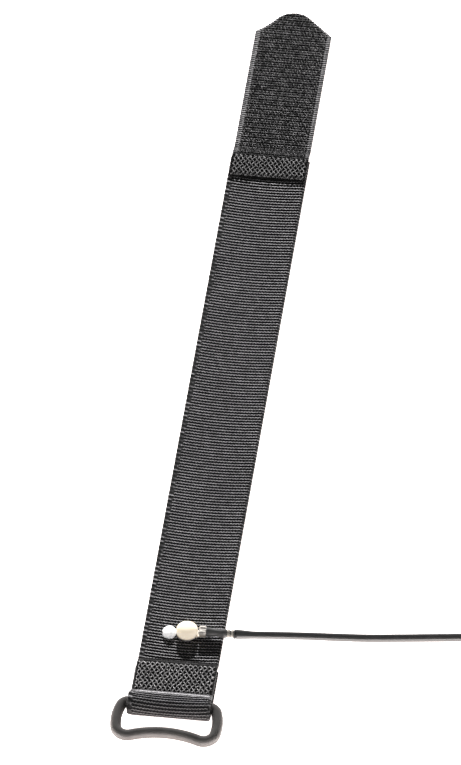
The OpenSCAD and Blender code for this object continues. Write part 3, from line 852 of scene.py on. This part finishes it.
def hooks(start, stop):
    """Rows of hooks, each row stepped over by half and turned the other way."""
    forward = hook_shape()
    backward = (forward[0] * np.array([1, -1, 1]), forward[1])
    parts = []
    first = math.ceil((start - TAPE_START) / TAPE_PITCH - 0.5)
    last = math.ceil((stop - TAPE_START) / TAPE_PITCH - 0.5)
    for row in range(first, last):
        v = TAPE_START + (row + 0.5) * TAPE_PITCH
        if v < HOOKS_FROM:
            continue
        room = float(tape_half(np.array(v), 1)) - HOOK_MARGIN
        x = np.arange(-room + HOOK_PITCH / 2 * (row % 2), room, HOOK_PITCH)
        x = x + 0.12 * RNG.uniform(-1, 1, len(x))
        z = float(tape_path(np.array([[v], [v + 0.1]]))[1][0, 0]) + TAPE_TOP / 2
        offsets = np.stack([x, np.full(len(x), v), np.full(len(x), z)], axis=-1)
        if len(x):
            parts.append(copies(forward if row % 2 else backward, offsets))
    return parts


def under_tape_lattice(x, v, relief, light, out_h):
    """Where the tape is sewn its pile is pressed flat and lies in the shade of the threads."""
    return relief, np.where((out_h > 0) & (v < BAND_STOP), 0.25 * light, light)


def tape_length(name, start, stop):
    """A length of the tape with its hooks."""
    places = stations(start, stop, TAPE_PITCH)
    ground, light = woven_strip(tape_path, places, TAPE_HALF, TAPE_TOP, TAPE_PITCH, 0.9, 0.3,
                                halves=tape_half, widths=(1.9, 1.6), knots=(0.8, 0.8), wave=0.1,
                                uneven=0.45, edge=(0.26, 0.6), extra=under_tape_lattice)
    # Painted shade on the tape's slope down from the band, which faces the key.
    light = light * (1 - 0.25 * on_step(np.asarray(places)))[:, None]
    whole = together([ground, *hooks(start, stop)])
    corners = len(hook_shape()[0])
    bleached = RNG.uniform(0.4, 0.8, (len(whole[0]) - len(ground[0])) // corners)
    crest = np.concatenate([light.ravel(), np.repeat(bleached, corners)])
    return piece(name, whole, HOOK_TAPE, crest=crest)


def make_tape():
    """The hook tape on the band's end, in lengths that each reach over one hinge."""
    ends = [TAPE_START] + [HINGES[k] + SPAN / 2 for k in (10, 11, 12, 13)]
    for k in range(4):
        length = tape_length(f"tape_{k + 1}", ends[k], ends[k + 1])
        bent(length)
        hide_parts(f"hook_tab_{k + 1}")
    tip = tape_length("tape_tip", ends[4], TIP_END)
    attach(tip, "span_14")


# ---------------------------------------------------------------- stitching

LATTICE_X = 1.45      # distance across between two threads of the same slant
LATTICE_SLOPE = 1.72
LATTICE_R = 0.15
STITCH_PITCH, STITCH_R = 1.45, 0.16


def lattice(start, stop, half, z):
    """Two slants of thread that pass over and under each other."""
    lift = LATTICE_X * LATTICE_SLOPE / 2
    reach = (stop - start) / LATTICE_SLOPE
    parts = []
    for slant in (1, -1):
        low, high = (-half - reach, half) if slant > 0 else (-half, half + reach)
        for x0 in np.arange(low, high, LATTICE_X):
            v = np.linspace(start, stop, int((stop - start) / 0.3))
            x = x0 + slant * (v - start) / LATTICE_SLOPE
            weave = slant * np.cos(np.pi * (v - start) / lift)
            wander = 0.09 * RNG.uniform(-1, 1, len(v))
            keep = np.abs(x) <= half
            if keep.sum() < 4:
                continue
            path = np.stack([x + wander, v, z + 0.16 * weave], axis=-1)[keep]
            path[0, 2] -= 0.3
            path[-1, 2] -= 0.3
            parts.append(wire(path, LATTICE_R * RNG.uniform(0.75, 1.25, len(path)), 6))
    return parts


def stitch_row(v, half, z):
    """A row of short stitches across the band."""
    bow = np.linspace(0, np.pi, 7)
    line = np.stack([np.linspace(-0.5, 0.5, 7), 0 * bow, 0.22 * np.sin(bow) - 0.08], axis=-1)
    x = np.arange(-half + 0.6, half - 0.4, STITCH_PITCH)
    offsets = np.stack([x, v + 0.08 * RNG.uniform(-1, 1, len(x)), np.full(len(x), z)], axis=-1)
    return copies(wire(line, STITCH_R, 6), offsets)


def make_stitching():
    """The sewn lattices of the fold and of the tape."""
    half = BAND_HALF - 0.7
    top = 2 * BAND_T
    fold = together(lattice(FOLD_MEET, FOLD_END + 0.2, half, top + 0.02))
    made = piece("fold_lattice", fold, THREAD, crest=np.full(len(fold[0]), 1.0))
    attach(made, "root")
    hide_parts("fold_stitches")
    z = BAND_T + TAPE_TOP
    tape = together([*lattice(TAPE_START + 0.7, BAND_STOP - 0.4, half - 0.3, z + 0.02),
                     stitch_row(TAPE_START + 0.5, half - 0.3, z - 0.25)])
    made = piece("tape_lattice", tape, THREAD, crest=np.full(len(tape[0]), 0.5))
    bent(made)
    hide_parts("tip_stitches")


make_webbing()
make_fold()
make_tape()
make_stitching()


# ---------------------------------------------------------------- ring

WIRE_R = 1.7
RING_HALF = (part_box("ring")[1].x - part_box("ring")[0].x) / 2 / MM - WIRE_R
TOP_CORNER, SIDE_ARC, LOW_CORNER, BOW = 2.6, 17.0, 3.6, 20.6
TOP_TURN, SIDE_TURN = 72.0, 101.0


def heading(angle):
    """The direction at an angle counted from the top bar."""
    return np.array([math.sin(math.radians(angle)), math.cos(math.radians(angle))])


def ring_outline():
    """The ring's middle line in its own plane, from the middle of the top bar round to itself."""
    sine = math.sin(math.radians(TOP_TURN))
    bar_half = RING_HALF - TOP_CORNER * sine - SIDE_ARC * (1 - sine)
    top = np.array([bar_half, -TOP_CORNER])
    side = top + (TOP_CORNER - SIDE_ARC) * heading(TOP_TURN)
    low = side + (SIDE_ARC - LOW_CORNER) * heading(SIDE_TURN)
    last = low + LOW_CORNER * heading(180 + BOW)
    bow_r = last[0] / math.sin(math.radians(BOW))
    bow = np.array([0, last[1] - bow_r * math.cos(math.radians(BOW))])
    half = [(x, 0.0) for x in np.linspace(0, bar_half, 10)[:-1]]
    for centre, radius, start, stop, steps in ((top, TOP_CORNER, 0, TOP_TURN, 14),
                                               (side, SIDE_ARC, TOP_TURN, SIDE_TURN, 14),
                                               (low, LOW_CORNER, SIDE_TURN, 180 + BOW, 20)):
        half += [tuple(centre + radius * heading(a)) for a in np.linspace(start, stop, steps)[:-1]]
    half += [tuple(bow + bow_r * heading(a)) for a in np.linspace(BOW, 0, 24)]
    half = np.array(half)
    other = half[1:-1][::-1] * np.array([-1, 1])
    low_z = low[1] - LOW_CORNER
    return np.concatenate([half, other]), low_z


def make_ring():
    """The bent wire, tilted so that its lower corners lie on the table."""
    outline, lowest = ring_outline()
    tilt = math.asin((BAR_Z - WIRE_R) / -lowest)
    v = outline[:, 1] * math.cos(tilt)
    z = BAR_Z + outline[:, 1] * math.sin(tilt)
    path = np.stack([outline[:, 0], v, z], axis=-1)
    up = (0, -math.sin(tilt), math.cos(tilt))
    # The wire's ends are joined in the middle of the top bar, inside the fold
    joined = np.interp(np.abs(path[:, 0]), [0, 1.2, 2.2], [1, 1, 0]) * (outline[:, 1] > -1)
    swell = 1 + 0.012 * joined
    ring = piece("ring_wire", wire(path, WIRE_R * swell, 40, up, closed=True), RING_WIRE)
    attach(ring, "ring")
    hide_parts("ring")


make_ring()


# ---------------------------------------------------------------- snap, terminal and the lead's end

LEAD_Z = 3.4          # height of the lead's axis where it leaves the snap


def make_cap():
    """The socket's domed cap, with a rolled lower edge and a bore with a groove for the spring."""
    profile = [(2.1, 2.12), (2.1, 2.64), (2.2, 2.88), (2.45, 3.1), (2.9, 3.26), (3.4, 3.3), (3.9, 3.26),
               (4.35, 3.1), (4.8, 2.72), (5.15, 2.1), (5.36, 1.2), (5.42, 0.0)]
    bore = [(4.0, 0.0), (4.0, 2.12), (3.12, 2.12), (3.12, 2.62), (2.48, 2.62), (2.48, 2.12)]
    outline = np.concatenate([bore, soften(profile, 2)])
    cap = piece("snap_cap", turned(outline[::-1], (SNAP_X, SNAP_V, 0), "z", 72), CAP, sharp=50)
    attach(cap, "lead")
    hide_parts("snap_socket")


def make_rivet():
    """The anchor rivet's domed head, a little longer along the band, with an uneven rim."""
    def rim(along, turn):
        uneven = 0.035 * np.sin(5 * turn + 0.6) + 0.03 * np.sin(11 * turn) + 0.025 * np.sin(17 * turn + 2)
        return 1.02 - 0.07 * np.cos(2 * turn) + uneven * smoothstep((3.1 - along) / 0.6)

    profile = [(0.3, 0.0), (0.3, 1.1), (1.45, 1.1), (1.45, 2.15), (1.75, 2.22), (2.1, 2.18), (2.6, 2.02),
               (3.0, 1.66), (3.24, 1.1), (3.3, 0.0)]
    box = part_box("anchor_rivet")
    middle = (box[0] + box[1]) / 2
    rivet = piece("rivet_head", turned(soften(profile, 1), (middle.x / MM, v_of(middle.y), 0), "z", 64, rim),
                  RIVET, sharp=50)
    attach(rivet, "root")
    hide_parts("anchor_rivet")


def along_lead(profile, sides):
    """A solid of revolution about the lead's axis, counted from the snap."""
    return turned(profile, (SNAP_X, SNAP_V, LEAD_Z), "x", sides)


def terminal_eye(low, high):
    """The flat ring round the stud."""
    sides = 48
    rings = []
    for radius, height in ((2.65, low), (3.2, low), (3.2, high), (2.65, high)):
        flat = radius * circle(sides) + np.array([SNAP_X, SNAP_V])
        rings.append(np.concatenate([flat, np.full((sides, 1), height)], axis=1))
    return skin(np.array(rings), closed=True)


def terminal_tab(height):
    """The strip from the eye to the crimp, which narrows on its way."""
    x = np.array([2.9, 3.6, 4.6, 5.8]) + SNAP_X
    widths = (1.7, 1.3, 1.2, 1.2)
    section = np.stack([np.array([(w, -0.2), (w, 0.2), (-w, 0.2), (-w, -0.2)]) for w in widths])
    return sweep(np.stack([x, 0 * x + SNAP_V, 0 * x + height], axis=-1), section)


def crimp_ears():
    """The two ears that curl onto the core, one on each side."""
    x = np.linspace(3.6, 5.9, 9) + SNAP_X
    swell = np.array([0.55, 0.88, 0.98, 1.0, 0.94, 1.0, 0.98, 0.88, 0.55])
    ears = []
    for side in (-1, 1):
        path = np.stack([x, 0 * x + SNAP_V + 1.0 * side, 0 * x + LEAD_Z + 0.4], axis=-1)
        ears.append(wire(path, 0.78 * swell, 20))
    return ears


def make_terminal():
    """The eye under the cap, its tab and a crimp with two ears."""
    low, sheet = 2.05, 0.4
    barrel = along_lead([(3.7, 0.5), (3.7, 0.85), (3.85, 0.95), (5.7, 0.95), (5.85, 0.85), (5.85, 0.5)], 36)
    parts = [terminal_eye(low, low + sheet), terminal_tab(low + 0.2), barrel, *crimp_ears()]
    terminal = piece("crimp_terminal", together(parts), TINNED, sharp=40)
    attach(terminal, "lead")
    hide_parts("terminal")


def make_sleeve():
    """The shrink sleeve over the resistor, waisted, with a rolled front end."""
    profile = [(5.8, 0.5), (5.8, 1.2), (5.95, 1.38), (6.3, 1.46), (7.0, 1.45), (8.0, 1.24), (9.2, 1.1),
               (10.2, 1.2), (11.1, 1.4), (11.8, 1.46), (12.15, 1.28), (12.2, 0.5)]
    sleeve = piece("shrink_sleeve", along_lead(soften(profile, 2), 44), SLEEVE, sharp=60)
    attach(sleeve, "lead")
    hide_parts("sleeve")


def make_ferrule():
    """The short ferrule: two bright bands over a dark core."""
    band = [(0.0, 1.0), (0.0, 1.38), (0.08, 1.46), (0.7, 1.46), (0.78, 1.38), (0.78, 1.0)]
    parts = [along_lead([(start + x, r) for x, r in band], 44) for start in (12.36, 13.5)]
    ferrule = piece("ferrule_bands", together(parts), FERRULE, sharp=40)
    core = piece("ferrule_core", along_lead([(12.2, 0.5), (12.2, 1.12), (14.4, 1.12), (14.4, 0.5)], 36),
                 JACKET, sharp=40)
    for made in (ferrule, core):
        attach(made, "lead")
    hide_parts("ferrule")


def make_collar():
    """The jacket's cut end, with a small lug on each side."""
    profile = [(14.4, 0.5), (14.4, 1.3), (14.5, 1.5), (14.85, 1.55), (15.0, 1.3), (15.0, 0.5)]
    parts = [along_lead(soften(profile, 1), 40)]
    for side in (-1, 1):
        reach = np.array([0.95, 1.45, 1.85])
        lug_x, lug_z = 0 * reach + SNAP_X + 14.7, 0 * reach + LEAD_Z + 0.2
        path = np.stack([lug_x, SNAP_V + side * reach, lug_z], axis=-1)
        parts.append(wire(path, np.array([0.3, 0.3, 0.18]), 12))
    collar = piece("collar", together(parts), JACKET, sharp=60)
    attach(collar, "lead")
    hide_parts("jacket_collar")


make_cap()
make_rivet()
make_terminal()
make_sleeve()
make_ferrule()
make_collar()


# ---------------------------------------------------------------- carried-over CAD nodes

def finish_cad_nodes():
    """Gives each CAD node that still shows a real material."""
    finishes = {"contact_plate": PLATE, "snap_stud": PLATE, "snap_spring": SPRING, "conductor": COPPER,
                "series_resistor": RESISTOR, "plug_screw": PLATE}
    for node, material in finishes.items():
        shown = frame["nodes"][node]
        shown.data.materials.clear()
        shown.data.materials.append(material)


finish_cad_nodes()


# ---------------------------------------------------------------- stage and light

def make_stage():
    """A plain, very pale table that glows like a light table."""
    material = shader_of("pale_floor", (0.9, 0.9, 0.9), 0.6, Emission_Color=(1, 0.91, 0.88, 1),
                         Emission_Strength=1.8)[0]
    mesh = bpy.data.meshes.new("floor")
    reach, height = 14.0, -0.0002
    corners = [(x * reach, y * reach, height) for x, y in ((-1, -1), (1, -1), (1, 1), (-1, 1))]
    mesh.from_pydata(corners, [], [(0, 1, 2, 3)])
    mesh.materials.append(material)
    floor = bpy.data.objects.new("floor", mesh)
    bpy.context.scene.collection.objects.link(floor)


def lamp(name, kind, energy, azimuth, elevation, distance, size):
    """A lamp that points at the frame's origin, from beyond the tip at azimuth 0.

    The size is in metres, or in degrees for a sun.
    """
    a, e = math.radians(azimuth), math.radians(elevation)
    towards = Vector((math.sin(a) * math.cos(e), math.cos(a) * math.cos(e), math.sin(e)))
    data = bpy.data.lights.new(name, kind)
    data.energy = energy
    if kind == "SUN":
        data.angle = math.radians(size)
    else:
        data.size = size
    made = bpy.data.objects.new(name, data)
    made.location = towards * distance
    made.rotation_euler = (-towards).to_track_quat("-Z", "Y").to_euler()
    bpy.context.scene.collection.objects.link(made)
    return made


def make_light():
    """A key from low beyond the tip, a soft fill from the camera's side and a dim room."""
    key = lamp("key", "SUN", 13, -7, 22, 2.0, 2.5)
    fill = lamp("fill", "AREA", 20, 173, 6, 2.4, 1.0)
    for light in (key, fill):
        light.visible_glossy = False
    world = bpy.data.worlds.new("room")
    world.use_nodes = True
    world.node_tree.nodes["Background"].inputs["Color"].default_value = (1, 1, 1, 1)
    world.node_tree.nodes["Background"].inputs["Strength"].default_value = 0.1
    bpy.context.scene.world = world
    bpy.context.scene.view_settings.view_transform = "Standard"


make_stage()
make_light()
